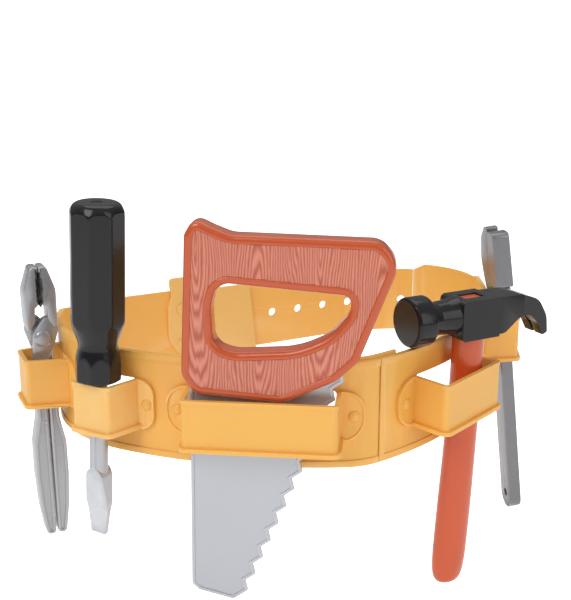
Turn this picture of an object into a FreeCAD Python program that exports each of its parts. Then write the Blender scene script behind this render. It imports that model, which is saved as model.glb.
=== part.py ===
import FreeCAD, Part
import math
import os

# A child's play tool belt, worn ring with five toy tools in its loops.
# Origin: centre of the ring at mid height. +Z up, -Y the belt's front, millimetres.

Vector = FreeCAD.Vector
up = Vector(0, 0, 1)
doc = FreeCAD.newDocument("ToolBelt")
sheet = doc.addObject("Spreadsheet::Sheet", "Sizes")

driving = {
    # ring, seen from above: tangent arcs named from the front round to the right
    "frontReach": 120.0, "frontShift": 15.0, "frontRadius": 230.0, "frontTurn": 4.0,
    "seamRadius": 35.0, "seamTurn": 33.0, "sideRadius": 200.0,
    "rearRadius": 48.0, "backRadius": 110.0, "backTurn": 28.0,
    "buckleRadius": 55.0, "leftRadius": 85.0, "leftTurn": 27.0,
    # panels and straps
    "panelHeight": 58.0, "panelWall": 2.4, "ribWidth": 3.6, "ribRise": 0.7,
    "rearHeight": 52.0, "tailHeight": 44.0, "tailWall": 2.1, "layerGap": 0.3,
    "seamGap": 0.5, "tabLeft": 12.0, "tabRight": 14.0, "tabWall": 1.8, "tabRise": 1.8, "tabDrop": 2.0,
    "frontLeftEnd": 206.0, "rearStart": 240.0, "shoulderStart": 298.0, "shoulderRun": 8.0,
    "holeRadius": 2.8, "holePitch": 20.0, "holeCount": 8.0, "firstHole": 314.6,
    "tipReach": 15.0, "strapGap": 4.0,
    "plateWall": 2.2, "plateRight": 26.0, "plateLeft": 38.0, "plateSlant": 5.0,
    "earWidth": 16.0, "earRise": 10.0, "pegRadius": 2.2, "pegProud": 1.4,
    # loops
    "loopHeight": 28.0, "loopWall": 2.0, "footWall": 1.6, "lipReach": 1.8, "lipTall": 2.2,
    "rimReach": 0.5, "rimTall": 2.0, "loopCorner": 3.0, "beadWidth": 1.3, "beadRise": 0.6,
    "pliersDepth": 23.0, "smallDepth": 21.0, "smallFace": 24.0, "smallFoot": 34.0, "smallPad": 9.0,
    "sawDepth": 21.0, "sawFace": 81.0, "sawFoot": 81.0, "sawPad": 13.0,
    "hammerDepth": 23.0, "hammerFace": 58.0, "hammerFoot": 50.0, "hammerPad": 13.0,
    "pliersPlace": -168.0, "screwdriverPlace": -113.0, "sawPlace": -26.5,
    "hammerPlace": 86.6, "wrenchPlace": 203.0,
    "rivetShank": 1.9, "rivetHead": 3.2, "rivetDome": 1.6, "rivetPlay": 0.1,
    # saw
    "sawThick": 13.0, "sawBladeThick": 2.6, "sawOut": 10.4, "sawToothPitch": 10.4,
    "sawNotchIn": 5.6, "sawNotchDown": 4.0, "sawEdgeRound": 3.2,
    # screwdriver
    "driverGrip": 14.8, "driverCollar": 12.6, "driverNeck": 10.2, "driverShaft": 5.0,
    "driverTall": 96.0, "driverOut": 13.7, "driverLean": 2.5, "driverSocket": 30.0,
    # hammer
    "hammerFaceRadius": 13.8, "hammerNeckRadius": 9.2, "hammerOut": 11.1, "hammerAlong": 11.0,
    "hammerTurn": 23.0, "hammerTall": 22.4, "hammerWide": 22.0, "clawWide": 19.0, "hammerAxisUp": 12.4,
    "hammerLift": 2.2, "hammerPlay": 0.15, "eyeLong": 13.0, "eyeWide": 9.0,
    # pliers
    "pliersThick": 12.0, "pliersOut": 11.0, "pliersAlong": -1.5, "pliersLean": 1.0, "pliersPivotUp": 24.0,
    "pivotCapRadius": 5.0, "pivotCap": 1.6,
    "capGap": 0.1, "pivotRadius": 3.0, "pivotPlay": 0.06,
    # wrench
    "wrenchThick": 7.4, "wrenchClear": 7.6, "wrenchLean": 6.5, "wrenchTurn": 15.0,
    "wrenchWide": 17.0, "screwRadius": 4.0, "screwLong": 13.2, "screwUp": 23.4, "jawPlay": 0.3,
    "jawThick": 11.0, "hangRadius": 2.7, "hangUp": -112.0, "jawShelf": 34.0,
    "channelUp": 27.7, "channelWide": 3.2, "neckWide": 2.2, "stemWide": 1.6, "footWide": 2.6,
}


def fillSheet():
    for row, (name, value) in enumerate(driving.items(), start=1):
        sheet.set("A%d" % row, name)
        sheet.set("B%d" % row, str(value))
        sheet.setAlias("B%d" % row, name)
    doc.recompute()


def size(name):
    return float(sheet.get(name))


fillSheet()


# ---------------------------------------------------------------- ring path
# The path is the belt's outer face in plan. A station is the distance along it from the
# frontmost point, positive towards the wearer's left.

def advance(point, heading, radius, turn):
    # end of an arc that turns left by turn degrees
    a = math.radians(heading)
    b = math.radians(heading + turn)
    return Vector(point.x + radius * (math.sin(b) - math.sin(a)),
                  point.y + radius * (math.cos(a) - math.cos(b)), 0)


def headingVector(heading):
    return Vector(math.cos(math.radians(heading)), math.sin(math.radians(heading)), 0)


def outwardVector(heading):
    return Vector(math.sin(math.radians(heading)), -math.cos(math.radians(heading)), 0)


def makePath():
    # pieces are (start station, length, start point, start heading, radius or None)
    sideTurn = 90.0 - size("frontTurn") - size("seamTurn")
    turns = [
        (size("frontRadius"), size("frontTurn")),
        (size("seamRadius"), size("seamTurn")),
        (size("sideRadius"), sideTurn),
        ("side", 0.0),
        (size("rearRadius"), 90.0),
        (size("backRadius"), size("backTurn")),
        ("back", 0.0),
        (size("buckleRadius"), 90.0 - size("backTurn")),
        (size("leftRadius"), 90.0 - size("leftTurn")),
        (size("frontRadius"), size("leftTurn")),
    ]
    start = Vector(size("frontShift"), -size("frontReach"), 0)
    # the two straight runs take up whatever closes the ring
    loose = Vector(start)
    heading = 0.0
    for radius, turn in turns:
        if turn:
            loose = advance(loose, heading, radius, turn)
            heading += turn
    gap = start - loose
    backHeading = math.radians(180.0 + size("backTurn"))
    backRun = gap.x / math.cos(backHeading)
    sideRun = gap.y - backRun * math.sin(backHeading)
    runs = {"side": sideRun, "back": backRun}
    path = []
    station = 0.0
    point = Vector(start)
    heading = 0.0
    for radius, turn in turns:
        if turn:
            length = radius * math.radians(turn)
            path.append((station, length, Vector(point), heading, radius))
            point = advance(point, heading, radius, turn)
            heading += turn
        else:
            length = runs[radius]
            path.append((station, length, Vector(point), heading, None))
            point = point + headingVector(heading) * length
        station += length
    return path, station


path, girth = makePath()


def onPiece(piece, run, out=0.0):
    # point at a run along one piece, moved outwards, and the heading there
    start, length, point, heading, radius = piece
    if radius is None:
        place = point + headingVector(heading) * run
        return place + outwardVector(heading) * out, heading
    turn = math.degrees(run / radius)
    place = advance(point, heading, radius, turn)
    return place + outwardVector(heading + turn) * out, heading + turn


def pathAt(station):
    # point on the outer face and the heading there
    place = station % girth
    piece = [each for each in path if each[0] <= place][-1]
    return onPiece(piece, place - piece[0])


def frameAt(station, out=0.0, along=0.0):
    # x along the belt, -y outwards, z up
    point, heading = pathAt(station)
    place = point + outwardVector(heading) * out + headingVector(heading) * along
    return FreeCAD.Placement(place, FreeCAD.Rotation(up, heading))


def offsetEdges(first, last, out):
    # edges of the path, moved outwards, between two stations
    edges = []
    for lap in (-1, 0, 1):
        for piece in path:
            begin = piece[0] + lap * girth
            low = max(first, begin) - begin
            high = min(last, begin + piece[1]) - begin
            if high - low < 1e-6:
                continue
            a = onPiece(piece, low, out)[0]
            b = onPiece(piece, (low + high) / 2.0, out)[0]
            c = onPiece(piece, high, out)[0]
            if piece[4] is None:
                edges.append(Part.LineSegment(a, c).toShape())
            else:
                edges.append(Part.Arc(a, b, c).toShape())
    return edges


def bandFace(first, last, low, high):
    # flat strip of the ring in plan
    outer = offsetEdges(first, last, high)
    inner = offsetEdges(first, last, low)
    startEnd = Part.LineSegment(inner[0].firstVertex().Point, outer[0].firstVertex().Point)
    lastEnd = Part.LineSegment(outer[-1].lastVertex().Point, inner[-1].lastVertex().Point)
    loose = outer + [lastEnd.toShape()] + inner[::-1] + [startEnd.toShape()]
    return Part.Face(Part.Wire(Part.__sortEdges__(loose)))


def band(first, last, low, high, bottom, top):
    # solid that follows the ring between two stations, two offsets and two heights
    face = bandFace(first, last, low, high)
    face.translate(Vector(0, 0, bottom))
    return face.extrude(Vector(0, 0, top - bottom))


# ---------------------------------------------------------------- shared shapes
def roundedFace(points, radii):
    # closed outline in XY with tangent arcs at its corners
    count = len(points)
    entries = []
    for index in range(count):
        corner = Vector(*points[index], 0)
        before = Vector(*points[index - 1], 0) - corner
        after = Vector(*points[(index + 1) % count], 0) - corner
        radius = radii[index] if isinstance(radii, (list, tuple)) else radii
        before.normalize()
        after.normalize()
        half = before.getAngle(after) / 2.0
        if radius < 1e-6 or half > math.radians(89.5):
            entries.append((corner, corner, corner))
            continue
        reach = radius / math.tan(half)
        middle = (before + after).normalize()
        centre = corner + middle * (radius / math.sin(half))
        entries.append((corner + before * reach, centre - middle * radius, corner + after * reach))
    edges = []
    for index in range(count):
        first, middle, last = entries[index]
        if first.distanceToPoint(last) > 1e-6:
            edges.append(Part.Arc(first, middle, last).toShape())
        following = entries[(index + 1) % count][0]
        if last.distanceToPoint(following) > 1e-6:
            edges.append(Part.LineSegment(last, following).toShape())
    return Part.Face(Part.Wire(edges))


def standing(face, low, high):
    # plate whose outline (x, z) was drawn in XY, from one distance outwards to another
    solid = face.copy()
    solid.translate(Vector(0, 0, low))
    solid = solid.extrude(Vector(0, 0, high - low))
    solid.rotate(Vector(0, 0, 0), Vector(1, 0, 0), 90)
    return solid


def placed(shape, placement):
    moved = shape.copy()
    moved.transformShape(placement.toMatrix(), False)
    return moved


def outwardRod(placement, radius, low, high):
    # round rod across the belt wall
    rod = Part.makeCylinder(radius, high - low, Vector(0, -low, 0), Vector(0, -1, 0))
    return placed(rod, placement)


def addPiece(name, shape):
    # a piece whose outline follows the ring, set from the sheet's sizes
    item = doc.addObject("Part::Feature", name)
    item.Label = name
    if isinstance(shape, Part.Shape) and shape.ShapeType == "Compound" and len(shape.Solids) == 1:
        shape = shape.Solids[0]
    item.Shape = shape
    pieces.append(item)
    return item


pieces = []


# ---------------------------------------------------------------- belt
loops = {
    # node: (place, depth, face width, foot width, pad length)
    "pliers_loop": ("pliersPlace", "pliersDepth", "smallFace", "smallFoot", "smallPad"),
    "screwdriver_loop": ("screwdriverPlace", "smallDepth", "smallFace", "smallFoot", "smallPad"),
    "saw_loop": ("sawPlace", "sawDepth", "sawFace", "sawFoot", "sawPad"),
    "hammer_loop": ("hammerPlace", "hammerDepth", "hammerFace", "hammerFoot", "hammerPad"),
    "wrench_loop": ("wrenchPlace", "smallDepth", "smallFace", "smallFoot", "smallPad"),
}


def loopSizes(name):
    return [size(key) for key in loops[name]]


def rivetPlaces(name):
    place, depth, face, foot, pad = loopSizes(name)
    reach = foot / 2.0 + pad / 2.0
    return [frameAt(place - reach), frameAt(place + reach)]


def cutForLoops(panel, names):
    # window behind each loop and the two rivet holes beside it
    wall = size("panelWall") + size("ribRise") + 2.0
    tall = size("loopHeight")
    for name in names:
        place, depth, face, foot, pad = loopSizes(name)
        half = foot / 2.0 - size("loopWall") - 0.6
        outline = roundedFace([(-half, -tall / 2), (half, -tall / 2), (half, tall / 2),
                               (-half, tall / 2)], 2.0)
        window = placed(standing(outline, -wall - 8.0, wall), frameAt(place))
        panel = panel.cut(window)
        for spot in rivetPlaces(name):
            hole = outwardRod(spot, size("rivetShank") + size("rivetPlay"), -wall - 2.0, wall)
            panel = panel.cut(hole)
    return panel


def border(first, last, tall):
    # raised edge along the top and bottom of a panel
    rib = size("ribWidth")
    rise = size("ribRise")
    upper = band(first, last, -0.5, rise, tall / 2 - rib, tall / 2)
    lower = band(first, last, -0.5, rise, -tall / 2, -tall / 2 + rib)
    return [upper, lower]


def ramp(first, last, wall, tallFirst, tallLast):
    # short stretch whose height changes evenly
    middle = (first + last) / 2.0
    half = (last - first) / 2.0 + 2.0
    slope = (tallLast - tallFirst) / (last - first) / 2.0
    level = (tallFirst + tallLast) / 4.0
    left = level - slope * half
    right = level + slope * half
    outline = roundedFace([(-half, -left), (half, -right), (half, right), (-half, left)], 0)
    stretch = band(first, last, -wall, 0, -max(tallFirst, tallLast), max(tallFirst, tallLast))
    return stretch.common(placed(standing(outline, -8.0, 8.0), frameAt(middle)))


def seamStation():
    # the two halves of the belt meet where the tight bend beside the front ends
    return path[2][0]


def pegStation():
    return size("firstHole") + (size("holeCount") - 1) * size("holePitch")


def plainHalf(spans, ramps, wall):
    solids = [band(a, b, -wall, 0, -tall / 2, tall / 2) for a, b, tall in spans]
    return solids + [ramp(*each) for each in ramps]


def makeLeftHalf():
    wall = size("panelWall")
    tall = size("panelHeight")
    strapTall = size("rearHeight") - 4.0
    start = pegStation() + size("tipReach") + size("strapGap") - girth
    seam = seamStation() - size("seamGap") / 2
    turnIn = -size("frontLeftEnd")
    slopeRun = 24.0
    solids = plainHalf([(turnIn, seam, tall), (start, turnIn - slopeRun, strapTall)],
                       [(turnIn - slopeRun, turnIn, wall, strapTall, tall)], wall)
    solids += border(turnIn, seam, tall)
    whole = solids[0].multiFuse(solids[1:]).removeSplitter()
    whole = cutForLoops(whole, ["pliers_loop", "screwdriver_loop", "saw_loop"])
    for spot in plateRivetPlaces():
        hole = outwardRod(spot, size("rivetShank") + size("rivetPlay"), -wall - 2.0, 3.0)
        whole = whole.cut(hole)
    addPiece("left_belt_half", whole)


def makeRightHalf():
    wall = size("panelWall")
    tall = size("panelHeight")
    rear = size("rearHeight")
    tail = size("tailHeight")
    seam = seamStation() + size("seamGap") / 2
    turn = size("rearStart")
    shoulder = size("shoulderStart")
    end = shoulder + size("shoulderRun")
    solids = plainHalf([(seam, turn, tall), (turn + 10.0, shoulder, rear)],
                       [(turn, turn + 10.0, wall, tall, rear),
                        (shoulder, end, wall, rear, tail)], wall)
    solids += border(seam, turn, tall)
    rib = size("ribWidth")
    solids.append(band(seam, seam + rib, -0.5, size("ribRise"), -tall / 2, tall / 2))
    whole = solids[0].multiFuse(solids[1:]).removeSplitter()
    addPiece("right_belt_half", cutForLoops(whole, ["hammer_loop", "wrench_loop"]))


def makeTail():
    wall = size("tailWall")
    tall = size("tailHeight")
    first = size("shoulderStart") + size("shoulderRun") + size("layerGap") + 0.1
    last = pegStation() + size("tipReach")
    strap = band(first, last, -wall, 0, -tall / 2, tall / 2)
    for index in range(int(size("holeCount"))):
        spot = frameAt(size("firstHole") + index * size("holePitch"))
        strap = strap.cut(outwardRod(spot, size("holeRadius"), -wall - 2.0, 3.0))
    # rounded tip
    corner = tall / 2 * 0.6
    outline = roundedFace([(-60, -tall / 2 - 5), (0, -tall / 2), (0, tall / 2), (-60, tall / 2 + 5)],
                          [0, corner, corner, 0])
    tip = placed(standing(outline, -6.0, 6.0), frameAt(last))
    straight = band(last - 50, last, -wall, 0, -tall / 2, tall / 2)
    strap = strap.cut(straight.cut(tip))
    addPiece("tail_strap", strap)


def plateRivetPlaces():
    spots = []
    for side in (-1, 1):
        spot = frameAt(pegStation() + 29.0)
        spot.Base = spot.Base + Vector(0, 0, side * 12.0)
        spots.append(spot)
    return spots


def makeEndPlate():
    wall = size("plateWall")
    face = -size("tailWall") - size("layerGap")
    half = size("tailHeight") / 2 + 1.0
    left = size("plateLeft")
    right = -size("plateRight")
    ear = half + size("earRise")
    earIn = left - 1.0 - size("earWidth")
    outline = roundedFace(
        [(right, -half), (right + size("plateSlant"), half), (earIn, half), (earIn, ear),
         (left - 1.0, ear), (left - 2.5, half - 2.0), (left, half - 9.0), (left, -half)],
        [1.0, 1.0, 2.0, 3.0, 2.5, 2.0, 4.0, 20.0])
    plate = placed(standing(outline, face - wall, face), frameAt(pegStation()))
    peg = outwardRod(frameAt(pegStation()), size("pegRadius"), face - 0.5, size("pegProud"))
    plate = plate.fuse(peg)
    for spot in plateRivetPlaces():
        plate = plate.cut(outwardRod(spot, size("rivetShank") + size("rivetPlay"), -9.0, 3.0))
    addPiece("end_plate", plate.removeSplitter())


def makeSeamTab():
    tall = size("panelHeight") / 2
    wall = size("panelWall")
    seam = seamStation()
    tab = band(seam - size("tabLeft"), seam + size("tabRight"), -wall - size("tabWall"), -wall,
               -tall + size("tabDrop"), tall + size("tabRise"))
    addPiece("seam_tab", tab)


def loopOutline(name):
    # plan of the loop seen from above, in its own frame, run on through the panel
    place, depth, face, foot, pad = loopSizes(name)
    here = frameAt(place).inverse()
    corners = [(-face / 2, -depth), (face / 2, -depth)]
    points = []
    for side, corner in zip((-1, 1), corners):
        foothold = here.multVec(pathAt(place + side * foot / 2)[0])
        corner = Vector(*corner, 0)
        inward = (foothold - corner).normalize()
        points.append((foothold + inward * 8.0, corner))
    (leftIn, leftOut), (rightIn, rightOut) = points
    return [(leftIn.x, leftIn.y), (leftOut.x, leftOut.y), (rightOut.x, rightOut.y),
            (rightIn.x, rightIn.y)]


def makeFoot(name, side):
    # foot with a rounded outer end and a raised bead, lying on the panel
    place, depth, face, foot, pad = loopSizes(name)
    tall = size("loopHeight") / 2
    inner = foot / 2 - size("loopWall")
    outer = foot / 2 + pad
    middle = (inner + outer) / 2
    half = (outer - inner) / 2
    round_ = min(pad, tall) * 0.95
    points = [(-half, -tall), (half, -tall), (half, tall), (-half, tall)]
    radii = [0, round_, round_, 0]
    if side < 0:
        points = [(-x, z) for x, z in points][::-1]
        radii = radii[::-1]
    outline = roundedFace(points, radii)
    spot = frameAt(place + side * middle)
    whole = placed(standing(outline, -4.0, 6.0), spot)
    hollow = outline.makeOffset2D(-size("beadWidth"))
    pocket = placed(standing(hollow, -4.0, 6.0), spot)
    low = min(place + side * (inner - 3.0), place + side * (outer + 3.0))
    high = max(place + side * (inner - 3.0), place + side * (outer + 3.0))
    base = band(low, high, 0, size("footWall"), -tall, tall).common(whole)
    top = size("footWall") + size("beadRise")
    bead = band(low, high, 0, top, -tall, tall).common(whole.cut(pocket))
    return base.fuse(bead)


def makeLoop(name):
    place, depth, face, foot, pad = loopSizes(name)
    tall = size("loopHeight") / 2
    corner = size("loopCorner")
    outline = roundedFace(loopOutline(name), [0, corner, corner, 0])
    hollow = outline.makeOffset2D(-size("loopWall"))
    rim = outline.makeOffset2D(size("rimReach"))
    lip = outline.makeOffset2D(size("lipReach"))

    def upright(shape, low, high):
        lifted = shape.copy()
        lifted.translate(Vector(0, 0, low))
        return lifted.extrude(Vector(0, 0, high - low))

    solid = upright(outline, -tall, tall)
    solid = solid.multiFuse([upright(rim, tall - size("rimTall"), tall),
                             upright(lip, -tall, -tall + size("lipTall"))])
    solid = solid.cut(upright(hollow, -tall - 1, tall + 1))
    solid = placed(solid, frameAt(place))
    reach = foot / 2 + pad + 12.0
    solid = solid.cut(band(place - reach, place + reach, -20.0, 0, -tall - 2, tall + 2))
    solid = solid.multiFuse([makeFoot(name, -1), makeFoot(name, 1)])
    hollowPlaced = placed(upright(hollow, -tall - 1, tall + 1), frameAt(place))
    solid = solid.cut(hollowPlaced)
    for spot in rivetPlaces(name):
        hole = outwardRod(spot, size("rivetShank") + size("rivetPlay"), -3.0, 6.0)
        solid = solid.cut(hole)
    addPiece(name, solid.removeSplitter())


def rivetAt(spot, back, front):
    # domed head outside, flat head behind, shank between
    shank = Part.makeCylinder(size("rivetShank"), front - back, Vector(0, -back, 0), Vector(0, -1, 0))
    flat = Part.makeCylinder(size("rivetHead"), 1.0, Vector(0, -back, 0), Vector(0, 1, 0))
    head = size("rivetHead")
    dome = size("rivetDome")
    ball = (head * head + dome * dome) / (2 * dome)
    sphere = Part.makeSphere(ball, Vector(0, -(front + dome - ball), 0))
    slab = Part.makeBox(4 * head, 2 * dome, 4 * head, Vector(-2 * head, -front - 2 * dome, -2 * head))
    cap = sphere.common(slab)
    return placed(shank.multiFuse([flat, cap]).removeSplitter(), spot)


def makeRivets():
    back = -size("panelWall")
    front = size("footWall")
    for name in loops:
        rivets = [rivetAt(spot, back, front) for spot in rivetPlaces(name)]
        addPiece(name.replace("_loop", "_loop_rivets"), Part.makeCompound(rivets))
    plateBack = -size("tailWall") - size("layerGap") - size("plateWall")
    rivets = [rivetAt(spot, plateBack, 0.0) for spot in plateRivetPlaces()]
    addPiece("plate_rivets", Part.makeCompound(rivets))


makeLeftHalf()
makeRightHalf()
makeTail()
makeEndPlate()
makeSeamTab()
for loopName in loops:
    makeLoop(loopName)
makeRivets()


# ---------------------------------------------------------------- bodies for the tools
def originPlane(body, role):
    return [each for each in body.Origin.OriginFeatures if each.Role == role][0]


def newBody(name, placement):
    body = doc.addObject("PartDesign::Body", name)
    body.Label = name
    body.Placement = placement
    pieces.append(body)
    return body


def newSketch(body, name, role, edges, offset=0.0):
    sketch = body.newObject("Sketcher::SketchObject", name)
    sketch.AttachmentSupport = [(originPlane(body, role), "")]
    sketch.MapMode = "FlatFace"
    sketch.AttachmentOffset = FreeCAD.Placement(Vector(0, 0, offset), FreeCAD.Rotation())
    for edge in edges:
        curve = edge.Curve
        if isinstance(curve, Part.Circle):
            if edge.isClosed():
                sketch.addGeometry(Part.Circle(curve.Center, curve.Axis, curve.Radius), False)
            else:
                # arcs are added as the shape gives them, turned to run left about +Z
                ends = [edge.valueAt(edge.FirstParameter), edge.valueAt(edge.LastParameter)]
                middle = edge.valueAt((edge.FirstParameter + edge.LastParameter) / 2)
                sketch.addGeometry(Part.Arc(ends[0], middle, ends[1]), False)
        else:
            sketch.addGeometry(Part.LineSegment(edge.firstVertex().Point,
                                                edge.lastVertex().Point), False)
    return sketch


def outline(body, name, points, radii=0.0, role="XZ_Plane", offset=0.0):
    # sketch of a closed outline with rounded corners; on XZ it reads (x, z) and pads outwards
    return newSketch(body, name, role, roundedFace(points, radii).OuterWire.Edges, offset)


def ring(body, name, x, z, radius, role="XZ_Plane", offset=0.0):
    circle = Part.Circle(Vector(x, z, 0), up, radius).toShape()
    return newSketch(body, name, role, [circle], offset)


def pad(body, sketch, name, formula, both=False, reverse=False):
    feature = body.newObject("PartDesign::Pad", name)
    feature.Profile = sketch
    feature.setExpression("Length", formula)
    feature.SideType = "Symmetric" if both else "One side"
    feature.Reversed = reverse
    return feature


def pocket(body, sketch, name, formula=None, both=False, reverse=False):
    # a cut; with no formula it goes right through both ways
    before = body.Shape.Volume
    feature = body.newObject("PartDesign::Pocket", name)
    feature.Profile = sketch
    if formula is None:
        feature.Length = 400.0
        feature.SideType = "Symmetric"
    else:
        feature.setExpression("Length", formula)
        feature.SideType = "Symmetric" if both else "One side"
        feature.Reversed = reverse
    doc.recompute()
    if body.Shape.Volume > before - 1e-3:
        raise RuntimeError("nothing cut by " + name)
    return feature


def edgesWhere(shape, rule):
    return ["Edge%d" % (index + 1) for index, edge in enumerate(shape.Edges) if rule(edge)]


def fillet(body, name, radius, rule):
    doc.recompute()
    base = body.Tip
    feature = body.newObject("PartDesign::Fillet", name)
    feature.Base = (base, edgesWhere(base.Shape, rule))
    feature.Radius = radius
    doc.recompute()
    return feature


def atY(level):
    # rule: the whole edge lies in the plane y = level
    return lambda edge: abs(edge.BoundBox.YMin - level) < 1e-4 and abs(edge.BoundBox.YMax - level) < 1e-4


def turned(placement, axis, degrees):
    turn = FreeCAD.Placement(Vector(0, 0, 0), FreeCAD.Rotation(axis, degrees))
    return placement.multiply(turn)


# ---------------------------------------------------------------- saw
sawGrip = [(-37.5, 99.0), (-32.5, 107.5), (-23.0, 103.0), (-14.0, 99.5), (60.0, 98.0), (69.5, 87.0),
           (50.0, 36.0), (39.0, 25.5), (12.0, 12.5), (-34.0, 16.0), (-40.5, 26.0)]
sawGripRound = [5.0, 5.5, 12.0, 14.0, 10.0, 12.0, 10.0, 8.0, 8.0, 8.0, 8.0]
sawHole = [(-20.5, 75.0), (45.0, 69.5), (43.5, 60.0), (31.0, 44.5), (12.0, 40.5), (-12.0, 38.5),
           (-24.5, 43.5), (-25.5, 62.0)]
sawHoleRound = [8.0, 4.0, 9.0, 14.0, 14.0, 10.0, 6.0, 10.0]


def toothLine():
    # stair of teeth along the blade's slanted edge, from the lowest tip up to the handle
    lowest = Vector(-7.7, -96.5, 0)
    highest = Vector(42.4, 24.0, 0)
    run = highest - lowest
    count = int(run.Length / size("sawToothPitch"))
    step = run * (1.0 / count)
    notch = Vector(-size("sawNotchIn"), -size("sawNotchDown"), 0)
    points = [(lowest.x, lowest.y)]
    for index in range(1, count + 1):
        tip = lowest + step * index
        root = tip + notch
        points.append((root.x, root.y))
        points.append((tip.x, tip.y))
    return points


def bladeOutline():
    points = toothLine() + [(41.5, 30.5), (-36.5, 30.5), (-37.9, -94.0), (-34.0, -97.6),
                             (-15.4, -102.0)]
    radii = [0.5] * (len(points) - 5) + [0.6, 0.6, 3.0, 3.0, 1.5]
    return points, radii


def makeSaw():
    home = frameAt(size("sawPlace"), size("sawOut"))
    half = "Sizes.sawThick / 2"
    points, radii = bladeOutline()
    for name, front in (("saw_handle_front", True), ("saw_handle_back", False)):
        body = newBody(name, home)
        grip = outline(body, name + "Grip", sawGrip, sawGripRound)
        pad(body, grip, name + "Pad", half, reverse=not front)
        doc.recompute()
        hole = outline(body, name + "Hole", sawHole, sawHoleRound)
        pocket(body, hole, name + "Finger")
        face = -size("sawThick") / 2 if front else size("sawThick") / 2
        fillet(body, name + "Round", size("sawEdgeRound"), atY(face))
        tang = outline(body, name + "Tang", points, radii)
        pocket(body, tang, name + "Slot", "Sizes.sawBladeThick / 2", reverse=front)
    blade = newBody("saw_blade", home)
    pad(blade, outline(blade, "BladeOutline", points, radii), "BladePad", "Sizes.sawBladeThick", both=True)
    doc.recompute()


# ---------------------------------------------------------------- screwdriver
def makeScrewdriver():
    home = frameAt(size("screwdriverPlace"), size("driverOut"))
    home = turned(home, Vector(0, 1, 0), size("driverLean"))
    foot = size("loopHeight") / 2 + 1.6
    top = foot + size("driverTall")
    grip = size("driverGrip")
    collar = size("driverCollar")
    neck = size("driverNeck")
    handle = newBody("screwdriver_handle", home)
    points = [(0, foot), (collar, foot), (collar, foot + 8), (neck, foot + 20), (grip, foot + 36),
              (grip, top - 8), (grip * 0.72, top), (0, top)]
    profile = outline(handle, "GripProfile", points, [0, 1.0, 3.0, 10.0, 14.0, 6.0, 3.0, 0])
    turn = handle.newObject("PartDesign::Revolution", "GripTurn")
    turn.Profile = profile
    turn.ReferenceAxis = (profile, ["V_Axis"])
    turn.Angle = 360.0
    doc.recompute()
    bore = ring(handle, "SocketRing", 0, 0, size("driverShaft"), "XY_Plane", foot - 1.0)
    pocket(handle, bore, "Socket", "Sizes.driverSocket + 1", reverse=True)
    shaft = newBody("screwdriver_shaft", home)
    rod = ring(shaft, "RodRing", 0, 0, size("driverShaft"), "XY_Plane", -40.0)
    pad(shaft, rod, "Rod", "40 + %s + Sizes.driverSocket" % foot)
    radius = size("driverShaft")
    sides = [(-radius, -34), (-7.4, -56), (-4.8, -75), (4.8, -75), (7.4, -56), (radius, -34)]
    blade = outline(shaft, "TipOutline", sides, [8.0, 5.0, 0.6, 0.6, 5.0, 8.0])
    pad(shaft, blade, "Tip", "2 * Sizes.driverShaft", both=True)
    doc.recompute()
    for side in (-1, 1):
        edge = [(side * radius, -36), (side * 1.3, -62), (side * 1.0, -80), (side * 20, -80),
                (side * 20, -36)]
        flat = outline(shaft, "Flat%d" % (side + 1), edge, 0.0, "YZ_Plane")
        pocket(shaft, flat, "FlatCut%d" % (side + 1))


# ---------------------------------------------------------------- hammer
def hammerHome():
    home = frameAt(size("hammerPlace"), size("hammerOut"), size("hammerAlong"))
    return turned(home, up, -size("hammerTurn"))


def crossRing(body, name, radius, along, level):
    # circle across the head at a distance along it
    circle = ring(body, name, 0, 0, radius, "YZ_Plane")
    circle.AttachmentOffset = FreeCAD.Placement(Vector(0, level, along), FreeCAD.Rotation())
    return circle


def eyeOutline(body, name, play, corner, level=0.0):
    long = size("eyeLong") / 2 - play
    wide = size("eyeWide") / 2 - play
    points = [(-long, -wide), (long, -wide), (long, wide), (-long, wide)]
    return outline(body, name, points, corner, "XY_Plane", level)


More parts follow.
